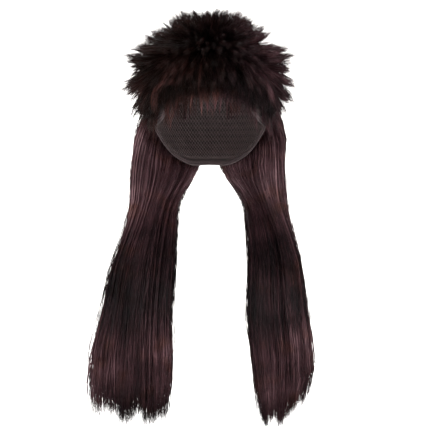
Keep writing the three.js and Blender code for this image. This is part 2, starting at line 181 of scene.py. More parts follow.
NET_ROW_SPACING = 9  # of the sewn rows of hair that show through the net
PLAIN_TONE = 0.5  # of a thread whose material reads no shade


def from_rows(rows, at, column=1):
    """The value of a table's column at keys in its first column, on a smooth line between rows."""
    keys = np.array([row[0] for row in rows], float)
    values = np.array([row[column] for row in rows], float)
    at = np.clip(at, keys[0], keys[-1])
    after = np.clip(np.searchsorted(keys, at), 1, len(keys) - 1)
    share = (at - keys[after - 1]) / (keys[after] - keys[after - 1])
    share = share * share * (3 - 2 * share)
    return values[after - 1] + (values[after] - values[after - 1]) * share


def points_of(x, y, z):
    """Coordinates as one array of points."""
    return np.stack(np.broadcast_arrays(x, y, z), axis=-1)


def head_point(turn, polar, outside):
    """Points at a distance outside the head. The angles are in radians."""
    ring = np.sin(polar)
    back = -np.cos(turn)
    half_width = HEAD_WIDTH / 2 * (1 + BACK_FULLNESS * back) + outside
    return points_of(
        half_width * ring * np.sin(turn),
        (HEAD_LENGTH / 2 + outside) * ring * back,
        -HEAD_DROP + (HEAD_DROP + outside) * np.cos(polar),
    )


def at_turn(rows, turn):
    """The polar angle that a table gives at a turn on either side, in degrees."""
    around = np.degrees(np.abs(np.arctan2(np.sin(turn), np.cos(turn))))
    return from_rows(rows, around)


def edge_polar(turn, below=0):
    """The polar angle of the cap's edge, or of a line some mm below it, in radians. The elastic
    draws the edge into a smooth curve."""
    nearby = np.asarray(turn)[..., None] + np.radians(CAP_EDGE_EVENED)
    return np.radians(at_turn(CAP_EDGE, nearby).mean(axis=-1)) + below / MEAN_RADIUS


def unit(vectors):
    """The vectors at a length of 1."""
    return vectors / np.maximum(np.linalg.norm(vectors, axis=-1, keepdims=True), 1e-9)


def strand_mesh(name, paths, radius, tone, seed):
    """Fibres as thin three-sided tubes that end in a point. The paths, in mm, are an array of
    fibres by points by 3, radius is a fibre's by its points, and tone is each fibre's shade."""
    rng = np.random.default_rng(seed)
    count, steps = paths.shape[:2]
    rings = steps - 1
    along = unit(np.gradient(paths, axis=1))
    side = unit(np.cross(along, unit(rng.normal(size=(count, 1, 3)))))
    other = np.cross(along, side)
    angles = np.radians([0, 120, 240])
    cosine, sine = np.cos(angles)[:, None], np.sin(angles)[:, None]
    around = cosine * side[:, :rings, None] + sine * other[:, :rings, None]
    tube = paths[:, :rings, None] + around * radius[:, :rings, None, None]
    points = np.concatenate([tube.reshape(count, rings * 3, 3), paths[:, -1:]], axis=1)
    faces = [(0, 2, 1)]
    for ring in range(0, 3 * (rings - 1), 3):
        for a, b in ((0, 1), (1, 2), (2, 0)):
            faces += [(ring + a, ring + b, ring + b + 3), (ring + a, ring + b + 3, ring + a + 3)]
    end = 3 * (rings - 1)
    faces += [(end + a, end + b, end + 3) for a, b in ((0, 1), (1, 2), (2, 0))]
    each = rings * 3 + 1
    faces = np.array(faces)[None] + (np.arange(count) * each)[:, None, None]
    faces = faces.reshape(-1, 3)
    mesh = bpy.data.meshes.new(name)
    mesh.vertices.add(count * each)
    mesh.vertices.foreach_set("co", (points * MILLIMETRE).astype(np.float32).ravel())
    mesh.loops.add(faces.size)
    mesh.loops.foreach_set("vertex_index", faces.astype(np.int32).ravel())
    mesh.polygons.add(len(faces))
    mesh.polygons.foreach_set("loop_start", np.arange(0, faces.size, 3, dtype=np.int32))
    mesh.update(calc_edges=True)
    mesh.shade_smooth()
    shade = mesh.attributes.new("tone", "FLOAT", "POINT")
    shade.data.foreach_set("value", np.repeat(tone, each).astype(np.float32))
    place = np.append(np.repeat(np.arange(rings) / rings, 3), 1)
    length = mesh.attributes.new("along", "FLOAT", "POINT")
    length.data.foreach_set("value", np.tile(place, count).astype(np.float32))
    return mesh


def wall_mesh(name, outer, inner, columns, rings):
    """A closed wall over the head from a sphere: its upper half becomes the outer surface and its
    lower half the inner one. outer and inner give points at a turn and a share of the way down."""
    form = bmesh.new()
    bmesh.ops.create_uvsphere(form, u_segments=columns, v_segments=2 * rings, radius=1)
    directions = np.array([v.co for v in form.verts])
    turn = np.arctan2(directions[:, 0], -directions[:, 1])
    down = np.arccos(np.clip(directions[:, 2], -1, 1)) / (math.pi / 2)
    upper = down <= 1.001
    places = np.where(upper[:, None], outer(turn, np.minimum(down, 1)), inner(turn, np.clip(2 - down, 0, 1)))
    for vert, place in zip(form.verts, places * MILLIMETRE):
        vert.co = place
    bmesh.ops.recalc_face_normals(form, faces=form.faces)
    return mesh_from(form, name)


def dress(name, mesh, material, node):
    """Put a piece on the part, in the place of a plain one."""
    piece = new_object(name, mesh, material)
    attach(piece, "root")
    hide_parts(node)


def set_stops(ramp, stops):
    """Give a colour ramp its stops, each a position and a colour."""
    elements = ramp.color_ramp.elements
    while len(elements) < len(stops):
        elements.new(0.5)
    for element, (position, colour) in zip(elements, stops):
        element.position = position
        element.color = colour


# Knitted nylon, matt and dark brown. The rows of hair sewn to its far side darken it in bands, which
# a wave texture draws at 0.314 / Scale from each other.
net_cloth, tree = new_material("knitted_nylon_net_cloth")
place = add_node(tree, "TexCoord").outputs["Object"]
rows = add_node(tree, "TexWave", {
    "Vector": place, "Scale": 0.314 / (NET_ROW_SPACING * MILLIMETRE),
    "Distortion": 1.2, "Detail": 2.0, "Detail Scale": 3.0,
}, wave_type="BANDS", bands_direction="Z")
ramp = add_node(tree, "ValToRGB", {"Fac": rows.outputs["Fac"]})
set_stops(ramp, [(0.2, linear("#1d1616")), (0.8, linear("#2e2525"))])
shader = add_node(tree, "BsdfPrincipled", {
    "Base Color": ramp.outputs["Color"], "Roughness": 0.8, "Specular IOR Level": 0.2,
})
add_node(tree, "OutputMaterial", {"Surface": shader.outputs["BSDF"]})

# The net's own thread: nylon with a little gloss, so that the diamonds show against the cloth.
net_thread, tree = new_material("nylon_net_thread")
shader = add_node(tree, "BsdfPrincipled", {
    "Base Color": linear("#4c4040"), "Roughness": 0.45, "Specular IOR Level": 0.3,
})
add_node(tree, "OutputMaterial", {"Surface": shader.outputs["BSDF"]})

dress("cap_net_cloth", wall_mesh(
    "cap_net_cloth",
    lambda turn, share: head_point(turn, share * edge_polar(turn), CAP_WALL),
    lambda turn, share: head_point(turn, share * edge_polar(turn), CLOTH_OFF_HEAD),
    CAP_COLUMNS, CAP_RINGS), net_cloth, "cap_net")

starts = np.arange(NET_THREADS_EACH_WAY) * 2 * math.pi / NET_THREADS_EACH_WAY
ways = np.repeat([1, -1], NET_THREADS_EACH_WAY)[:, None]
starts = np.tile(starts, 2)[:, None]
slant = np.radians(np.linspace(NET_TOP_POLAR, CAP_EDGE[-1][1], NET_THREAD_STEPS))[None]
turn = starts + ways * NET_TWIST * np.log(np.tan(slant / 2))
polar = np.minimum(slant, edge_polar(turn))
paths = head_point(turn, polar, NET_THREAD_OFF_HEAD + NET_THREADS_APART * ways)
mesh = strand_mesh("cap_net_threads", paths, np.full(paths.shape[:2], NET_THREAD_RADIUS),
                   np.full(len(paths), PLAIN_TONE), 11)
dress("cap_net_threads", mesh, net_thread, "cap_net")

# The edge band: knitted elastic of covered rubber, folded over the net's edge and held by a zigzag
# of thread. Fine ribs run along it.
BAND_WIDTH = 9
BAND_WALL = 2.4
BAND_GAP = 0.55
BAND_RIBS = 6
BAND_COLUMNS = 112
STITCH_LENGTH = 3.2
STITCH_RADIUS = 0.32
STITCH_OUT = 0.1  # of the tape's face
KNIT_GRAIN = 1.1


def mix(low, high, share):
    """The value at a share of the way from low to high."""
    return low + (high - low) * share


def tape_mesh(name, start, finish, top, bottom, inner, outer, ribs, columns):
    """A tape that lies on the head from one turn to another, in degrees, with ribs along it. Its
    ribbed section is spun round, and each point is then laid between two edges on the head."""
    down = np.linspace(0.04, 0.96, 4 * ribs + 1)
    rib = 0.88 + 0.12 * np.cos(2 * math.pi * ribs * down)
    section = [*zip(down, rib), (1, 0.5), *zip(down[::-1], 1 - rib[::-1]), (0, 0.5)]
    form = bmesh.new()
    verts = [form.verts.new((10 + out, 0, at)) for at, out in section]
    edges = [form.edges.new(pair) for pair in zip(verts, verts[1:] + verts[:1])]
    whole = finish - start > 359
    bmesh.ops.spin(form, geom=verts + edges, axis=(0, 0, 1), cent=(0, 0, 0), steps=columns,
                   angle=math.radians(finish - start), use_merge=whole)
    if whole:
        bmesh.ops.remove_doubles(form, verts=form.verts, dist=1e-4)
    else:
        ends = bmesh.ops.holes_fill(form, edges=[e for e in form.edges if e.is_boundary], sides=0)
        bmesh.ops.triangulate(form, faces=ends["faces"])
    spun = np.array([v.co for v in form.verts])
    angle = np.arctan2(spun[:, 1], spun[:, 0])
    turn = math.radians(start) + np.where(angle < -1e-5, angle + 2 * math.pi, angle)
    out = np.hypot(spun[:, 0], spun[:, 1]) - 10
    places = head_point(turn, mix(top(turn), bottom(turn), spun[:, 2]), mix(inner, outer, out))
    for vert, place in zip(form.verts, places * MILLIMETRE):
        vert.co = place
    bmesh.ops.recalc_face_normals(form, faces=form.faces)
    return mesh_from(form, name)


def zigzag_mesh(name, start, finish, top, bottom, outside):
    """A zigzag of sewing thread along a tape, on one or more of its faces."""
    count = 2 * round(math.radians(finish - start) * MEAN_RADIUS / STITCH_LENGTH) + 1
    turn = np.radians(np.linspace(start, finish, count))
    down = np.where(np.arange(count) % 2, 0.3, 0.7)
    paths = np.stack([head_point(turn, mix(top(turn), bottom(turn), down), face) for face in outside])
    radius = np.full(paths.shape[:2], STITCH_RADIUS)
    return strand_mesh(name, paths, radius, np.full(len(paths), PLAIN_TONE), 12)


# Knitted elastic, matt and a little lighter than the net. Its knit, which is too fine to show, is
# drawn as a grain a millimetre wide.
elastic_cloth, tree = new_material("knitted_elastic")
place = add_node(tree, "TexCoord").outputs["Object"]
knit = add_node(tree, "TexNoise", {"Vector": place, "Scale": 1 / (KNIT_GRAIN * MILLIMETRE), "Detail": 2.0})
ramp = add_node(tree, "ValToRGB", {"Fac": knit.outputs["Fac"]})
set_stops(ramp, [(0.3, linear("#1d1617")), (0.7, linear("#3a2f30"))])
shader = add_node(tree, "BsdfPrincipled", {
    "Base Color": ramp.outputs["Color"], "Roughness": 0.75, "Specular IOR Level": 0.25,
})
add_node(tree, "OutputMaterial", {"Surface": shader.outputs["BSDF"]})

# Polyester sewing thread, with the soft gloss that twisted thread has.
sewing_thread, tree = new_material("polyester_sewing_thread")
shader = add_node(tree, "BsdfPrincipled", {
    "Base Color": linear("#574649"), "Roughness": 0.4, "Specular IOR Level": 0.4,
})
add_node(tree, "OutputMaterial", {"Surface": shader.outputs["BSDF"]})

band_lines = (lambda turn: edge_polar(turn, BAND_GAP), lambda turn: edge_polar(turn, BAND_WIDTH))
band_faces = (CAP_WALL - BAND_WALL, CAP_WALL)
dress("cap_band_elastic", tape_mesh(
    "cap_band_elastic", -180, 180, *band_lines, *band_faces, BAND_RIBS, BAND_COLUMNS),
    elastic_cloth, "cap_band")
dress("cap_band_stitches", zigzag_mesh(
    "cap_band_stitches", -180, 179, *band_lines, (band_faces[0] - STITCH_OUT, band_faces[1] + STITCH_OUT)),
    sewing_thread, "cap_band")

# The tracks: narrow woven tapes sewn in rows round the back of the cap. The long hair is stitched
# into them, and lies over them.
CLEARANCE = 0.35
ON_CAP = CAP_WALL + CLEARANCE
TRACK_WALL = 1.4
TRACK_WIDTH = 6
TRACK_RIBS = 3
TRACK_COLUMNS = 40
TRACKS = [(76, 112), (87, 114), (98, 118), (109, 130)]  # polar, from

for number, (polar, start) in enumerate(TRACKS, 1):
    name = "hair_track_%d" % number
    lines = (lambda turn: math.radians(polar) + 0 * turn,
             lambda turn: math.radians(polar) + TRACK_WIDTH / MEAN_RADIUS + 0 * turn)
    dress(name + "_tape", tape_mesh(
        name + "_tape", start, 360 - start, *lines, ON_CAP, ON_CAP + TRACK_WALL, TRACK_RIBS, TRACK_COLUMNS),
        elastic_cloth, name)
    dress(name + "_stitches", zigzag_mesh(
        name + "_stitches", start + 1, 359 - start, *lines, (ON_CAP + TRACK_WALL + STITCH_OUT,)),
        sewing_thread, name)

# The crown hair: short modacrylic fibre, crimped and teased so that it stands off the cap all round
# in spiky tufts, cut level on top. It is sewn so thick that the cap doesn't show through it.
SPIKE_TOP_LENGTH = 60
SPIKE_SIDE_LENGTH = 52
SPIKE_END_LENGTH = 38
CROWN_DROP = 118
HAIRLINE_WIDTH = 12
ROOT_ROOM = 3
FIRST_TRACK_POLAR, FIRST_TRACK_FROM = TRACKS[0]
SPIKE_LEAN = 6
CROWN_PROFILE = [  # polar, reach, drop
    (0, 0, 0), (18, 0.36, 0.01), (30, 0.49, 0.08), (45, 0.66, 0.18), (62, 0.84, 0.3), (75, 1, 0.36),
    (84, 0.9, 0.48), (93, 0.99, 0.62), (103, 0.93, 0.74), (115, 0.84, 0.87), (130, 0.7, 1),
]
CROWN_HEM = [  # turn, polar
    (0, 100), (25, 101), (48, 108), (72, 120), (98, 128), (125, 118), (180, 110),
]
CROWN_BOTTOM = 115  # the lowest polar angle that the rings of tufts are counted for
ROOT_LAYER_IN = 0.02  # shares of the way to the tips that the dark root layer, painted shade deep in the hair, lies between
ROOT_LAYER_EDGE = 0.05
ROOT_LAYER_OUT = 0.34
ROOT_LAYER_STREAK = 2.4
ROOT_LAYER_RELIEF = 2
TUFT_RINGS = 13
TUFTS_IN_WIDEST_RING = 37
TUFT_FIBRES = 38
LOOSE_SPIKES = 230
LOOSE_SPIKE_FIBRES = 13
LOOSE_TIPS = 300
LOOSE_TIP_FIBRES = 4
BROWN_PATCHES = 2.6  # of them to each patch of lighter or darker dye
COMBED_DOWN = 0.55  # how much lower on the crown a tip is than its root, as a share, over the brow
COMBED_OUT = 0.27  # and elsewhere
FIBRE_RADIUS = 0.46
LOOSE_TIP_RADIUS = 0.34
TUFT_BEND = 2.6
FIBRE_BEND = 0.9
TUFT_STEPS = np.array([0, 0.3, 0.58, 0.82, 1])
SPIKE_STEPS = np.array([0, 0.35, 0.65, 0.87, 1])
TUFT_TAPER = np.array([1, 0.95, 0.78, 0.45, 0])
CROWN_TONE = 0.26
# Painted light: crown fibres whose tips lie on the right, on the left or on top are painted lighter, as
# where the lamps light them.
PAINTED_LIGHT_RIGHT = 0.22
PAINTED_LIGHT_LEFT = 0.04
PAINTED_LIGHT_TOP = 0.05
OUTLINE_TUFT_TONE = 0.34
OUTLINE_TUFT_CENTRE = 1.5  # head drops below the crown, where the single spikes point away from
OUTLINE_TUFTS = [  # tip x, y and z, of the single spikes that stand out
    (-70, -6, 36), (-88, 10, 31), (-106, -8, 10), (-129, 6, -4), (-118, 14, -20), (-127, -4, -47),
    (-133, 8, -57), (-121, -16, -62), (-115, 4, -85), (70, 4, 40), (83, -10, 40), (95, 8, 14),
    (129, -4, -3), (119, 12, -26), (116, -14, -51), (122, 2, -72), (121, 14, -66), (109, -8, -86),
    (-46, 0, 55), (-24, -12, 59), (4, 8, 60), (34, -8, 60), (56, 6, 57), (20, -30, 58), (-55, 12, 49),
    (64, -6, 50), (47, 14, 59), (14, 12, 61), (-12, 14, 60), (-34, 10, 58), (44, -20, 57), (-60, 0, 44),
    (66, 12, 45), (25, 4, 61), (80, 6, 30), (-82, -8, 24), (-117, 0, -8), (-111, -14, -14),
    (-114, 10, -31), (-109, -10, -37), (114, 0, -9), (117, -12, -17), (109, 10, -24), (111, -6, -39),
]
OUTLINE_TUFT_FIBRES = 44


def ease(low, high, at):
    """From 0 at low to 1 at high, on a smooth line."""
    share = np.clip((at - low) / (high - low), 0, 1)
    return share * share * (3 - 2 * share)


def crown_edge(turn):
    """The polar angle where the crown hair ends on the cap, in radians."""
    above_strips = edge_polar(turn, -HAIRLINE_WIDTH)
    above_tracks = math.radians(FIRST_TRACK_POLAR) - ROOT_ROOM / MEAN_RADIUS
    over_tracks = np.cos(turn) < math.cos(math.radians(FIRST_TRACK_FROM - SPIKE_LEAN))
    return np.where(over_tracks, np.minimum(above_strips, above_tracks), above_strips)


def crown_tip(turn, polar):
    """Where the crown's tips lie. The polar angle, in degrees, is the profile's."""
    reach = from_rows(CROWN_PROFILE, polar, 1)
    drop = from_rows(CROWN_PROFILE, polar, 2)
    return points_of(
        (HEAD_WIDTH / 2 + SPIKE_SIDE_LENGTH) * reach * np.sin(turn),
        -(HEAD_LENGTH / 2 + SPIKE_END_LENGTH) * reach * np.cos(turn),
        mix(SPIKE_TOP_LENGTH, -CROWN_DROP, drop),
    )


def crown_point(turn, share, out):
    """A point of the crown hair between its top and its lower edge, and from the cap to the tips."""
    inner = head_point(turn, share * crown_edge(turn), ON_CAP)
    tip = crown_tip(turn, share * at_turn(CROWN_HEM, turn))
    return inner + (tip - inner) * np.asarray(out)[..., None]


def arc(start, bend, end, at):
    """Points along curves from start to end that are drawn towards bend."""
    return start * (1 - at) ** 2 + bend * 2 * at * (1 - at) + end * at**2


def fibre_material(name, shades, painted_light_along, patch_size, patch_depth, browner, browner_left):
    """Dyed modacrylic fibre, extruded and a little rough, so that its gloss is soft and weak. The shades run
    from the darkest fibres to the lightest, and painted_light_along lifts them on the way from the root to
    the tip as painted light: painted highlight bands, and tips painted lighter. The dye is plum, lighter and
    darker in patches of some mm, and browner in smaller patches and on the left."""
    material, tree = new_material(name)
    tone = add_node(tree, "Attribute", attribute_name="tone").outputs["Fac"]
    along = add_node(tree, "Attribute", attribute_name="along").outputs["Fac"]
    place = add_node(tree, "TexCoord").outputs["Object"]
    patches = add_node(tree, "TexNoise", {
        "Vector": place, "Scale": 1 / (patch_size * MILLIMETRE), "Detail": 2.0})
    spread = add_node(tree, "MapRange", {
        "Value": patches.outputs["Fac"], "From Min": 0.3, "From Max": 0.7,
        "To Min": -patch_depth, "To Max": patch_depth})
    brown_patches = add_node(tree, "TexNoise", {
        "Vector": place, "Scale": BROWN_PATCHES / (patch_size * MILLIMETRE), "Detail": 1.0})
    across = add_node(tree, "SeparateXYZ", {"Vector": place})
    brown = add_node(tree, "Math", {
        0: across.outputs["X"], 1: -browner_left, 2: brown_patches.outputs["Fac"]}, operation="MULTIPLY_ADD")
    brown_share = add_node(tree, "MapRange", {
        "Value": brown.outputs[0], "From Min": 0.4 - browner, "From Max": 0.65 - browner})
    # Painted light: a lift by the place along the fibre, for painted highlight bands and lighter tips.
    lift = add_node(tree, "ValToRGB", {"Fac": along})
    set_stops(lift, [(at, (value, value, value, 1)) for at, value in painted_light_along])
    shade = add_node(tree, "Math", {0: tone, 1: spread.outputs["Result"]}, operation="ADD")
    lifted = add_node(tree, "Math", {0: shade.outputs[0], 1: lift.outputs["Color"]}, operation="ADD")
    ramp = add_node(tree, "ValToRGB", {"Fac": lifted.outputs[0]})
    set_stops(ramp, [(i / (len(shades) - 1), linear(code)) for i, code in enumerate(shades)])
    tinted = add_node(tree, "Mix", {
        "Factor": brown_share.outputs["Result"], "A": ramp.outputs["Color"], "B": linear("#fbe8cc"),
    }, data_type="RGBA", blend_type="MULTIPLY")
    shader = add_node(tree, "BsdfPrincipled", {
        "Base Color": tinted.outputs["Result"], "Roughness": 0.32, "Specular IOR Level": 0.04,
    })
    add_node(tree, "OutputMaterial", {"Surface": shader.outputs["BSDF"]})
    return material


# Teased short fibre: nearly black inside the tufts, with dark plum and brown tips, which are painted a
# little lighter towards their ends as painted light.
crown_fibre = fibre_material(
    "modacrylic_fibre_teased", ["#050303", "#100a0b", "#221517", "#3d272b", "#614549"],
    [(0, 0.0), (0.5, 0.02), (1, 0.05)], 50, 0.1, 0.12, 4)

# The same fibre, packed at its roots, as a dark layer inside the tufts: its black, without gloss, is painted
# shade deep in the hair, and it is streaked where strands press together.
root_layer_painted_shade, tree = new_material("fibre_roots_painted_shade")
place = add_node(tree, "TexCoord").outputs["Object"]
streaks = add_node(tree, "TexNoise", {
    "Vector": place, "Scale": 1 / (ROOT_LAYER_STREAK * MILLIMETRE), "Detail": 3.0})
ramp = add_node(tree, "ValToRGB", {"Fac": streaks.outputs["Fac"]})
set_stops(ramp, [(0.3, linear("#030202")), (0.75, linear("#120b0d"))])
bump = add_node(tree, "Bump", {
    "Height": streaks.outputs["Fac"], "Distance": ROOT_LAYER_RELIEF * MILLIMETRE, "Strength": 0.8})
shader = add_node(tree, "BsdfPrincipled", {
    "Base Color": ramp.outputs["Color"], "Roughness": 0.9, "Specular IOR Level": 0.1,
    "Normal": bump.outputs["Normal"],
})
add_node(tree, "OutputMaterial", {"Surface": shader.outputs["BSDF"]})

# The root layer: a dark shell inside the tufts, painted shade where the hair is deep.
dress("crown_hair_roots", wall_mesh(
    "crown_hair_roots",
    lambda turn, share: crown_point(turn, share, ROOT_LAYER_EDGE + (ROOT_LAYER_OUT - ROOT_LAYER_EDGE) * (1 - share**2.5)),
    lambda turn, share: crown_point(turn, share, np.full(len(turn), ROOT_LAYER_IN)),
    CAP_COLUMNS, CAP_RINGS), root_layer_painted_shade, "crown_hair")


def tuft_fibres(tufts, fibres, rng, shortest, pull):
    """The fibres of tufts on the crown, as paths and shades. A tuft is a row of turn, share of the
    way down the crown, length as a share of the way from the cap to the tips, and width in
    radians. pull is how far its fibres draw together at its tip."""
    turn, share, out, wide, shortest, pull = (
        np.repeat(column, fibres) for column in (*tufts.T, shortest, pull))
    count = len(turn)
    own_turn = turn + rng.normal(0, 1, count) * wide
    own_share = np.clip(np.abs(share + rng.normal(0, 0.42 / TUFT_RINGS, count)), 0.004, 1)
    over_brow = ease(0.2, 0.9, np.cos(own_turn))
    comb = mix(COMBED_OUT, COMBED_DOWN, over_brow) * own_share
    root_share = own_share - comb
    length = out * mix(shortest, 1, rng.random(count) ** 0.7)
    root = crown_point(own_turn, root_share, np.zeros(count))
    rise = crown_point(
        own_turn, root_share + mix(0.5, 0.3, over_brow) * comb, mix(0.52, 0.6, over_brow) * length)
    own_tip = crown_point(own_turn, own_share, length)
    tuft_tip = crown_point(turn, share, length)
    at = TUFT_STEPS[None, :, None]
    paths = arc(root[:, None], rise[:, None], own_tip[:, None], at)
    paths = paths + (tuft_tip - own_tip)[:, None] * (pull[:, None, None] * ease(0.3, 1.1, at))
    tuft_bend = np.repeat(rng.normal(0, TUFT_BEND, (len(tufts), 3)), fibres, axis=0)
    bend = tuft_bend + rng.normal(0, FIBRE_BEND, (count, 3))
    paths = paths + bend[:, None] * at * at
    tone = CROWN_TONE + np.repeat(rng.normal(0, 0.06, len(tufts)), fibres) + rng.normal(0, 0.1, count)
    across, high = own_tip[:, 0], own_tip[:, 2]
    # Painted light: lighter on the right, a little on the left and on top.
    tone = tone + PAINTED_LIGHT_RIGHT * ease(25, 95, across) + PAINTED_LIGHT_LEFT * ease(-25, -95, across)
    tone = tone + PAINTED_LIGHT_TOP * ease(28, 58, high)
    return paths, np.clip(tone, 0, 1)


def spike_fibres(tips, fibres, rng):
    """The fibres of single spikes, each from a patch of the cap to its own tip, as paths and shades."""
    tips = np.array(tips, float)
    turn = np.arctan2(tips[:, 0] / HEAD_WIDTH, -tips[:, 1] / HEAD_LENGTH)
    polar = np.arctan2(
        np.hypot(tips[:, 0], tips[:, 1]), tips[:, 2] + HEAD_DROP * OUTLINE_TUFT_CENTRE)
    tip, turn, polar = (np.repeat(column, fibres, axis=0) for column in (tips, turn, polar))
    count = len(turn)
    polar = np.minimum(polar, crown_edge(turn)) + rng.normal(0, 0.07, count)
    turn = turn + rng.normal(0, 0.07, count) / np.maximum(np.sin(polar), 0.2)
    root = head_point(turn, polar, ON_CAP)
    length = mix(0.72, 1, rng.random((count, 1)) ** 0.7)
    outward = unit(head_point(turn, polar, ON_CAP + 1) - root)
    end = root + (tip + rng.normal(0, 1.6, (count, 3)) - root) * length
    rise = mix(root, end, 0.25) + outward * np.linalg.norm(end - root, axis=1, keepdims=True) * 0.25
    paths = arc(root[:, None], rise[:, None], end[:, None], SPIKE_STEPS[None, :, None])
    return paths, np.clip(OUTLINE_TUFT_TONE + rng.normal(0, 0.14, count), 0, 1)


def dress_tufts(name, paths, tone, radius, rng, seed):
    """Put tufts of crown hair on the part, as one piece. A fibre keeps its thickness for most of
    its length and then comes to a point."""
    radius = radius * TUFT_TAPER * rng.uniform(0.7, 1.2, (len(paths), 1))
    dress(name, strand_mesh(name, paths, radius, tone, seed), crown_fibre, "crown_hair")


rng = np.random.default_rng(5)
rows = []
for ring in range(TUFT_RINGS):
    share = (ring + 0.6) / TUFT_RINGS
    reach = np.linalg.norm(crown_tip(math.pi / 2, share * CROWN_BOTTOM)[:2])
    girth = reach / (HEAD_WIDTH / 2 + SPIKE_SIDE_LENGTH)
    number = max(5, round(TUFTS_IN_WIDEST_RING * girth))
    turns = (np.arange(number) + rng.random() + rng.uniform(-0.35, 0.35, number)) * 2 * math.pi / number
    shares = np.clip(share + rng.uniform(-0.4, 0.4, number) / TUFT_RINGS, 0.01, 1)
    level_cut = ease(0.34, 0.14, shares)
    shoulder = ease(0.14, 0.25, shares) * ease(0.62, 0.44, shares)
    by_place = 0.13 * shoulder - 0.08 * ease(0.8, 0.95, shares)
    lengths = mix(rng.uniform(0.82, 1.03, number) + by_place, rng.uniform(1.02, 1.09, number), level_cut)
    wide = np.full(number, 0.42 * 2 * math.pi / number)
    shortest = mix(0.78, 0.9, level_cut)
    pull = mix(0.93, 0.4, level_cut)
    rows.append(np.stack([turns, shares, lengths, wide, shortest, pull], axis=1))
tufts = np.concatenate(rows)
is_front = np.cos(tufts[:, 0]) > 0
for name, chosen in (("crown_hair_front", is_front), ("crown_hair_back", ~is_front)):
    here = tufts[chosen]
    paths, tone = tuft_fibres(here[:, :4], TUFT_FIBRES, rng, here[:, 4], here[:, 5])
    dress_tufts(name, paths, tone, FIBRE_RADIUS, rng, 21)

shares = rng.uniform(0.2, 1, LOOSE_SPIKES)
here = np.stack([
    rng.uniform(-math.pi, math.pi, LOOSE_SPIKES), shares, rng.uniform(0.98, 1.18, LOOSE_SPIKES),
    np.full(LOOSE_SPIKES, 0.035)], axis=1)
loose = tuft_fibres(here, LOOSE_SPIKE_FIBRES, rng, np.full(LOOSE_SPIKES, 0.8), np.full(LOOSE_SPIKES, 0.95))
single = spike_fibres(OUTLINE_TUFTS, OUTLINE_TUFT_FIBRES, rng)
paths, tone = (np.concatenate(pair) for pair in zip(loose, single))
dress_tufts("crown_hair_spikes", paths, tone, FIBRE_RADIUS, rng, 22)

rng = np.random.default_rng(6)
shares = rng.uniform(0.03, 1, LOOSE_TIPS)
lengths = mix(rng.uniform(0.97, 1.06, LOOSE_TIPS), rng.uniform(1, 1.2, LOOSE_TIPS), ease(0.15, 0.32, shares))
here = np.stack([
    rng.uniform(-math.pi, math.pi, LOOSE_TIPS), shares, lengths, np.full(LOOSE_TIPS, 0.04)], axis=1)
paths, tone = tuft_fibres(here, LOOSE_TIP_FIBRES, rng, np.full(LOOSE_TIPS, 0.85), np.full(LOOSE_TIPS, 0.75))
dress_tufts("crown_hair_loose_tips", paths, tone, LOOSE_TIP_RADIUS, rng, 25)

# The hem of the crown hair: plain short fibre that lies over the dark root layer of painted shade and hangs
# a little over the brow and the temples, where it hides the cap's edge.
HEM_FIBRES = 3600
HEM_REACH = 100  # degrees to each side
HEM_BELOW = [(0, 3), (30, 5), (50, 4), (70, -2), (100, -8)]  # turn, mm below the cap's edge
HEM_STEPS = np.array([0, 0.35, 0.72, 1])
HEM_TAPER = np.array([1, 0.95, 0.7, 0])
HEM_RADIUS = 0.42
HEM_TONE = 0.2

rng = np.random.default_rng(8)
turn = np.radians(rng.uniform(-HEM_REACH, HEM_REACH, HEM_FIBRES))
root_above = rng.uniform(2, 52, HEM_FIBRES)
ends_below = at_turn(HEM_BELOW, turn) + rng.normal(0, 4, HEM_FIBRES) - 0.5 * np.maximum(root_above - 12, 0)
stand = rng.uniform(5, 15, HEM_FIBRES) + 0.12 * root_above
root_polar = crown_edge(turn) - root_above / MEAN_RADIUS
end_polar = edge_polar(turn) + ends_below / MEAN_RADIUS
turns = turn[:, None] + rng.normal(0, 0.05, (HEM_FIBRES, 1)) * HEM_STEPS[None]
polars = root_polar[:, None] + (end_polar - root_polar)[:, None] * HEM_STEPS[None] ** 1.2
outside = ON_CAP + stand[:, None] * np.sin(HEM_STEPS * 2.1)[None]
paths = head_point(turns, polars, outside)
tone = np.clip(HEM_TONE + rng.normal(0, 0.12, HEM_FIBRES), 0, 1)
radius = HEM_RADIUS * HEM_TAPER * rng.uniform(0.7, 1.2, (HEM_FIBRES, 1))
mesh = strand_mesh("crown_hair_hem", paths, radius, tone, 23)
dress("crown_hair_hem", mesh, crown_fibre, "crown_hair")

# The temple lock: a thin lighter lock of the same short fibre, sewn in at the edge of the crown hair.
# It stands out from the left temple and curls down.
TEMPLE_LOCK = [(-36, 64, 14), (-54, 62, 34), (-57, 86, 15)]  # root, bend and tip: turn, polar, mm out
TEMPLE_LOCK_SPREAD = (2, 1.6, 1.4)  # of the turn, the polar and the mm out
TEMPLE_LOCK_FIBRES = 26
TEMPLE_LOCK_STEPS = 8
TEMPLE_LOCK_RADIUS = 0.3
TEMPLE_LOCK_TONE = 0.72

at = np.linspace(0, 1, TEMPLE_LOCK_STEPS)[None, :]
loose = rng.normal(0, 1, (3, TEMPLE_LOCK_FIBRES, 1))
turn, polar, outside = (
    arc(*ends, at) + apart * spread
    for ends, apart, spread in zip(zip(*TEMPLE_LOCK), loose, TEMPLE_LOCK_SPREAD))
paths = head_point(np.radians(turn), np.radians(polar), outside)
radius = TEMPLE_LOCK_RADIUS * (1 - at**3) * rng.uniform(0.7, 1.2, (TEMPLE_LOCK_FIBRES, 1))
tone = np.clip(TEMPLE_LOCK_TONE + rng.normal(0, 0.12, TEMPLE_LOCK_FIBRES), 0, 1)
mesh = strand_mesh("crown_hair_temple_lock", paths, radius, tone, 24)
dress("crown_hair_temple_lock", mesh, crown_fibre, "crown_hair")

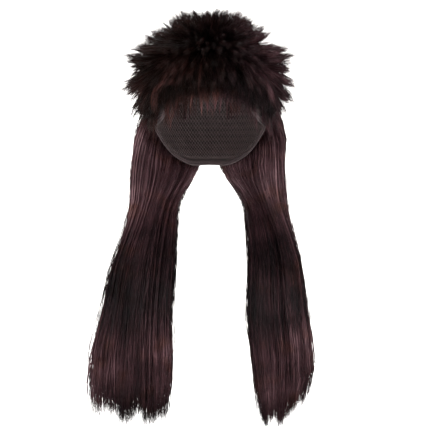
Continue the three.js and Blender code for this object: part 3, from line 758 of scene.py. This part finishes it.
# The long hair: two falls of straight modacrylic fibre, sewn in tracks round the back of the cap.
# They part at the nape, come forward on each side and end in ragged points.
FALL_DROP = 528
FALL_REACH = 166
FALL_FORWARD = 88
FALL_THICKNESS = 30
PARTING = 9
FALL_FIBRES = 2300
FALL_FIBRE_LENGTH = 740
FALL_FIBRE_RADIUS = 0.5
FALL_STEPS = 15
FALL_CLUMPS = 62  # that the fibres draw together in at their ends
CLUMP_WIDE = 0.055  # spreads of a clump's fibres, as shares of the fall's width and half depth
CLUMP_DEEP = 0.3
CLUMPS_UNEVEN = 7  # mm that clumps, and the fibres in them, end above the line of the lowest tips
CLUMPS_BELOW = 4
FIBRES_UNEVEN = 8
FALL_ROOTS = [(70, 0.15, 0.15), (88, 0.6, 0.4), (100, 1.05, 0.5)]  # polar, outer lift, inner lift
FALL_SECTIONS = {  # down, outer, inner, outer at, inner at
    "left": (-1, [
        (0.115, 0.67, 0.11, 0.44, 0.97), (0.23, 0.675, 0.27, 0.3, 0.66), (0.345, 0.73, 0.3, 0.07, 0.13),
        (0.46, 0.83, 0.31, -0.3, -0.41), (0.615, 0.9, 0.34, -0.66, -0.75), (0.8, 0.98, 0.33, -0.84, -0.91),
        (1, 0.96, 0.37, -0.93, -1),
    ]),
    "right": (1, [
        (0.115, 0.625, 0.11, 0.28, 0.97), (0.23, 0.64, 0.3, 0.2, 0.66), (0.345, 0.7, 0.33, 0.02, 0.13),
        (0.46, 0.77, 0.34, -0.33, -0.41), (0.615, 0.8, 0.33, -0.68, -0.75), (0.8, 0.83, 0.38, -0.85, -0.91),
        (1, 0.72, 0.44, -0.93, -1),
    ]),
}
FALL_DEPTHS = [(0, 0.25), (0.1, 0.58), (0.35, 0.5), (0.75, 0.38), (1, 0.2)]  # along, depth
FALL_HEM = {  # share from the outer edge to the inner one, mm above the lowest tips
    "left": [(0, 12), (0.1, 5), (0.22, 13), (0.44, -4), (0.58, 10), (0.75, -8), (0.9, 2), (1, 4)],
    "right": [(0, 36), (0.12, 22), (0.35, 6), (0.5, -6), (0.65, 8), (0.8, 2), (0.92, -8), (1, 6)],
}
FALL_TONE = {"left": 0.1, "right": 0.14}
FALL_SEED = {"left": 31, "right": 32}
FALL_ROWS = [0, 0.04, 0.08]  # shares of the length at which fibres start, for the rows of tracks
FLYAWAY_SHARE = 0.12
FLYAWAY = 7  # mm, and the furthest
FLYAWAY_MOST = 12
FLARE = (2, 12)  # mm that fibres at the outer edge stand out at their ends
FLARE_SHARE = 0.4
LOOSE_STRETCH = 55  # mm that loose fibres stray, for each share of the fall's width beyond its edge


def fall_grid(side, sections, shares, alongs):
    """Points of a fall's middle surface at shares from its outer edge to its inner one, and along
    it from the roots (0) to the lowest tips (1), on a centripetal curve through its sections."""
    turn = mix(math.radians(FIRST_TRACK_FROM), math.pi - PARTING / HEAD_LENGTH, shares)
    stops = []
    for polar, outer_lift, inner_lift in FALL_ROOTS:
        lift = FALL_THICKNESS * mix(outer_lift, inner_lift, shares)
        stops.append(head_point(turn, math.radians(polar), ON_CAP + TRACK_WALL + lift))
    leaves = stops[-1][:, 2]
    for down, outer, inner, outer_at, inner_at in sections:
        at = mix(outer_at, inner_at, shares)
        stops.append(points_of(
            FALL_REACH * mix(outer, inner, shares),
            at * np.where(at > 0, HEAD_LENGTH / 2, FALL_FORWARD),
            mix(leaves, -FALL_DROP, down),
        ))
    stops = np.stack(stops, axis=1) * [side, 1, 1]
    before = 2 * stops[:, :1] - stops[:, 1:2]
    after = 2 * stops[:, -1:] - stops[:, -2:-1]
    stops = np.concatenate([before, stops, after], axis=1)
    spans = stops.shape[1] - 3
    span = np.minimum((alongs * spans).astype(int), spans - 1)
    p0, p1, p2, p3 = (stops[:, span + i] for i in range(4))
    d0, d1, d2 = (
        np.linalg.norm(b - a, axis=-1, keepdims=True) ** 0.5 for a, b in ((p0, p1), (p1, p2), (p2, p3)))
    leave = ((p1 - p0) / d0 - (p2 - p0) / (d0 + d1) + (p2 - p1) / d1) * d1
    arrive = ((p2 - p1) / d1 - (p3 - p1) / (d1 + d2) + (p3 - p2) / d2) * d1
    w = (alongs * spans - span)[None, :, None]
    square = -3 * p1 + 3 * p2 - 2 * leave - arrive
    cube = 2 * p1 - 2 * p2 + leave + arrive
    return p1 + leave * w + square * w**2 + cube * w**3


def look_up(grid, share, along):
    """A grid's values at shares and alongs, both from 0 to 1, between its own points."""
    rows, columns = grid.shape[0] - 1, grid.shape[1] - 1
    i = np.clip(share * rows, 0, rows - 1e-6)
    j = np.clip(along * columns, 0, columns - 1e-6)
    low_i, low_j = i.astype(int), j.astype(int)
    wi, wj = (i - low_i)[..., None], (j - low_j)[..., None]
    upper = grid[low_i, low_j] * (1 - wj) + grid[low_i, low_j + 1] * wj
    lower = grid[low_i + 1, low_j] * (1 - wj) + grid[low_i + 1, low_j + 1] * wj
    return upper * (1 - wi) + lower * wi


def fall_fibres(surface, hem, base_tone, rng):
    """A fall's fibres, laid through the depth on both sides of its middle surface, as paths, radius
    and shades. Clumps of them hang together, and more closely so at their ends."""
    width = np.gradient(surface, axis=0)
    depth = unit(np.cross(np.gradient(surface, axis=1), width))
    across = unit(width)
    count = FALL_FIBRES

    clump_share = (np.arange(FALL_CLUMPS) + rng.random(FALL_CLUMPS)) / FALL_CLUMPS
    clump_deep = rng.uniform(-0.85, 0.85, FALL_CLUMPS)
    clump_lift = from_rows(hem, clump_share) + rng.exponential(CLUMPS_UNEVEN, FALL_CLUMPS) - CLUMPS_BELOW
    clump = rng.integers(0, FALL_CLUMPS, count)
    share = clump_share[clump] + rng.normal(0, CLUMP_WIDE, count)
    deep = clump_deep[clump] + rng.normal(0, CLUMP_DEEP, count)
    beyond = (share - np.clip(share, 0, 1)) * LOOSE_STRETCH * rng.uniform(0, 1.2, count)
    deep = np.clip(deep, -1, 1)

    lift = clump_lift[clump] + rng.exponential(FIBRES_UNEVEN, count)
    end = 1 - lift / FALL_FIBRE_LENGTH
    start = rng.choice(FALL_ROWS, count)
    at = np.linspace(0, 1, FALL_STEPS) ** 0.92
    along = start[:, None] + (end - start)[:, None] * at[None]
    pull = 0.8 * ease(0.86, 1.0, at)[None]
    at_share = share[:, None] + (clump_share[clump] - share)[:, None] * pull
    at_deep = deep[:, None] + (clump_deep[clump] - deep)[:, None] * pull
    half_depth = FALL_THICKNESS * from_rows(FALL_DEPTHS, along)
    edge_thin = 0.3 + 0.7 * np.sqrt(np.clip(1 - (2 * at_share - 1) ** 2, 0, 1))

    crimp = rng.normal(0, 1, (count, FALL_STEPS)) * (0.5 * ease(0, 0.1, at) + 0.5 * ease(0.6, 0.9, at))
    sway = rng.normal(0, 0.9, (count, 1)) * np.sin(at * math.pi * 2 + rng.uniform(0, 6.3, (count, 1)))
    flyaways = rng.random(count) < FLYAWAY_SHARE
    strays = flyaways * np.clip(rng.normal(0, FLYAWAY, count), -FLYAWAY_MOST, FLYAWAY_MOST)
    stray = strays[:, None] * ease(0.15, 1, at) * np.sin(at * 4 + rng.uniform(0, 2, (count, 1)))
    flare = rng.uniform(*FLARE, count) * (share < 0.16) * (strays == 0) * (rng.random(count) < FLARE_SHARE)
    stray = stray - flare[:, None] * ease(0.7, 0.97, at) + beyond[:, None] * ease(0.12, 0.4, at)

    paths = look_up(surface, at_share, along)
    paths = paths + look_up(depth, at_share, along) * (at_deep * half_depth * edge_thin)[..., None]
    paths = paths + look_up(across, at_share, along) * (crimp + sway + stray)[..., None]
    to_tip = np.clip((1 - at) / 0.12, 0, 1) ** 0.6
    tone = base_tone + rng.normal(0, 0.07, FALL_CLUMPS)[clump] + rng.normal(0, 0.11, count)
    radius = FALL_FIBRE_RADIUS * (0.25 + 0.75 * to_tip) * rng.uniform(0.7, 1.25, (count, 1))
    radius = radius * np.where((strays == 0) & (beyond == 0), 1, 0.7)[:, None]
    return paths, radius, np.clip(tone, 0, 1)


# Straight long fibre: plum, with painted highlights along it: a soft light band painted round the head,
# another above the ends, and nearly black between them.
long_fibre = fibre_material(
    "modacrylic_fibre_straight", ["#070405", "#180e10", "#2e1d20", "#543e42", "#896c70"],
    [(0, 0.22), (0.2, 0.42), (0.3, 0.36), (0.42, 0.34), (0.54, 0.11), (0.71, 0.02), (0.77, 0),
     (0.84, 0.35), (0.91, 0.31), (1, 0.14)], 70, 0.18, -0.12, 0)

for name, (side, sections) in FALL_SECTIONS.items():
    surface = fall_grid(side, sections, np.linspace(0, 1, 33), np.linspace(0, 1, 91))
    paths, radius, tone = fall_fibres(
        surface, FALL_HEM[name], FALL_TONE[name], np.random.default_rng(FALL_SEED[name]))
    mesh = strand_mesh("long_hair_%s_fibres" % name, paths, radius, tone, 33)
    dress("long_hair_%s_fibres" % name, mesh, long_fibre, "long_hair_" + name)

# The fringe and the sideburns: thin wisps of the same short fibre, sewn to narrow strips of net
# along the cap's front edge. They hang over the brow and down from the temples.
FRINGE_LENGTH = 46
SIDEBURN_LENGTH = 42
STRIP_WIDTH = 12
STRIP_WALL = 1.2
STRIP_GAP = 0.7
STRIP_ROWS = 9  # mm of it that the fibres are sewn to
WISPS = {  # from, to, wisps, length, seed
    "fringe": (-50, 50, 58, FRINGE_LENGTH, 61),
    "sideburn_left": (-92, -64, 11, SIDEBURN_LENGTH, 62),
    "sideburn_right": (64, 92, 11, SIDEBURN_LENGTH, 63),
}
WISP_FIBRES = 10
WISP_RADIUS = 0.3
WISP_STEPS = np.array([0, 0.2, 0.42, 0.64, 0.84, 1])
WISP_TAPER = np.array([1, 1, 0.9, 0.75, 0.5, 0])
WISP_TONE = 0.47
STRIP_FIBRES_PER_DEGREE = 8  # short ones, between the wisps
STRIP_FIBRE_LENGTH = (8, 17)
STRIP_FIBRE_TONE = 0.3


def hang_point(turn, edge, below, outside):
    """A point some mm below an edge: down the head as far as its widest ring, then straight down."""
    polar = edge + below / MEAN_RADIUS
    point = head_point(turn, np.minimum(polar, math.pi / 2), outside)
    point[..., 2] -= np.maximum(polar - math.pi / 2, 0) * MEAN_RADIUS
    return point


def wisp_fibres(start, finish, wisps, longest, rng):
    """The fibres of a row of wisps, and short ones between them, as paths, radius and shades."""
    middle = np.radians(mix(start, finish, (np.arange(wisps) + rng.uniform(-0.4, 1.4, wisps)) / wisps))
    reach = longest * mix(0.36, 1, rng.random(wisps) ** 1.6)
    drift = rng.normal(0, 0.24, wisps) * reach / MEAN_RADIUS
    count = wisps * WISP_FIBRES
    own = np.repeat(np.arange(wisps), WISP_FIBRES)
    turn = np.clip(middle[own] + rng.normal(0, 0.035, count), math.radians(start), math.radians(finish))
    drop = reach[own] * mix(0.55, 1, rng.random(count) ** 0.7)
    tone = WISP_TONE + rng.normal(0, 0.1, wisps)[own] + rng.normal(0, 0.12, count)

    fill = int((finish - start) * STRIP_FIBRES_PER_DEGREE)
    fill_turn = np.radians(rng.uniform(start, finish, fill))
    turn = np.concatenate([turn, fill_turn])
    gather = np.concatenate([middle[own] + drift[own], fill_turn + rng.normal(0, 0.04, fill)])
    drop = np.concatenate([drop, rng.uniform(*STRIP_FIBRE_LENGTH, fill)])
    tone = np.concatenate([tone, STRIP_FIBRE_TONE + rng.normal(0, 0.12, fill)])
    stand = rng.uniform(1.5, 7.5, len(turn))

    at = WISP_STEPS
    turns = turn[:, None] + (gather - turn)[:, None] * ease(0.1, 1.05, at)[None]
    below = -STRIP_ROWS + (drop[:, None] + STRIP_ROWS) * at[None]
    below = below - rng.uniform(-3, 3, (len(turn), 1)) * (1 - at)
    outside = ON_CAP + 2 + stand[:, None] * np.sin(at * 2.2)[None] + rng.normal(0, 0.4, (len(turn), len(at)))
    paths = hang_point(turns, edge_polar(turns), below, outside)
    radius = WISP_RADIUS * WISP_TAPER * rng.uniform(0.7, 1.2, (len(turn), 1))
    return paths, radius, np.clip(tone, 0, 1)


for name, (start, finish, wisps, longest, seed) in WISPS.items():
    lines = (lambda turn: edge_polar(turn, -STRIP_WIDTH), lambda turn: edge_polar(turn, -STRIP_GAP))
    dress(name + "_strip", tape_mesh(
        name + "_strip", start, finish, *lines, ON_CAP, ON_CAP + STRIP_WALL, 1, (finish - start) // 3),
        net_cloth, name)
    paths, radius, tone = wisp_fibres(start, finish, wisps, longest, np.random.default_rng(seed))
    mesh = strand_mesh(name + "_fibres", paths, radius, tone, 41)
    dress(name + "_fibres", mesh, crown_fibre, name)
